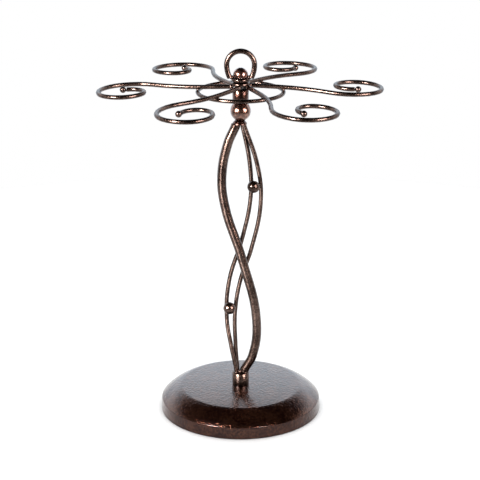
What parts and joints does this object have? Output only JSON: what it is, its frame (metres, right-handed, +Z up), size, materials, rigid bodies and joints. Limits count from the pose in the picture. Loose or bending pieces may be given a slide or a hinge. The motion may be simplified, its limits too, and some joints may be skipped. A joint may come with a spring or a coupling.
{
  "type": "stemware tree",
  "caption": "Free-standing metal tree with curled open rings on bent rods above a round weighted base, for hanging stemware or mugs.",
  "frame": {"origin": "centre of the base's underside, on the surface it stands on", "axes": "+Z up along the stem; +X along arm 1, to the right as seen from the front; +Y towards the back"},
  "size_m": [0.2604, 0.2404, 0.3492],
  "materials": {
    "bronze_hammered": "glossy dark bronze powder coat with a fine hammered grain",
    "bronze_ball": "glossy copper-brown lacquer",
    "black_nylon": "matt moulded spacer",
    "zinc_steel": "bright zinc plate",
    "cast_iron": "rough casting",
    "pad_foam": "matt black non-slip pad"
  },
  "bodies": {
    "stem": {"base_cover": "bronze_hammered", "base_weight": "cast_iron", "base_pad": "pad_foam", "base_screw": "zinc_steel", "base_screw_washer": "zinc_steel", "stem_post": "bronze_hammered", "post_weld": "bronze_hammered", "stem_rod_thick": "bronze_hammered", "stem_rod_thin_1": "bronze_hammered", "stem_rod_thin_2": "bronze_hammered", "stem_bead_upper": "bronze_hammered", "stem_bead_lower": "bronze_hammered", "stem_neck": "bronze_hammered", "stem_ball": "bronze_ball", "stem_tube": "bronze_hammered", "spacer_washer": "black_nylon", "stem_stud": "zinc_steel"},
    "head": {"hub_disc": "bronze_hammered", "handle_collar": "bronze_hammered", "support_ring": "bronze_hammered", "loop_handle": "bronze_hammered", "arm_1": "bronze_hammered", "arm_2": "bronze_hammered", "arm_3": "bronze_hammered", "arm_4": "bronze_hammered", "arm_5": "bronze_hammered", "arm_6": "bronze_hammered", "arm_bead_1": "bronze_hammered", "arm_bead_2": "bronze_hammered", "arm_bead_3": "bronze_hammered", "arm_bead_4": "bronze_hammered", "arm_bead_5": "bronze_hammered", "arm_bead_6": "bronze_hammered"},
    "finial": {"finial_nut": "bronze_ball"}
  },
  "joints": [
    {"name": "head_swivel", "type": "hinge", "parent": "stem", "child": "head", "pos_m": [0, 0, 0.3152], "axis": [0, 0, 1], "continuous": true},
    {"name": "finial_turn", "type": "hinge", "parent": "stem", "child": "finial", "pos_m": [0, 0, 0.3252], "axis": [0, 0, 1], "continuous": true}
  ]
}
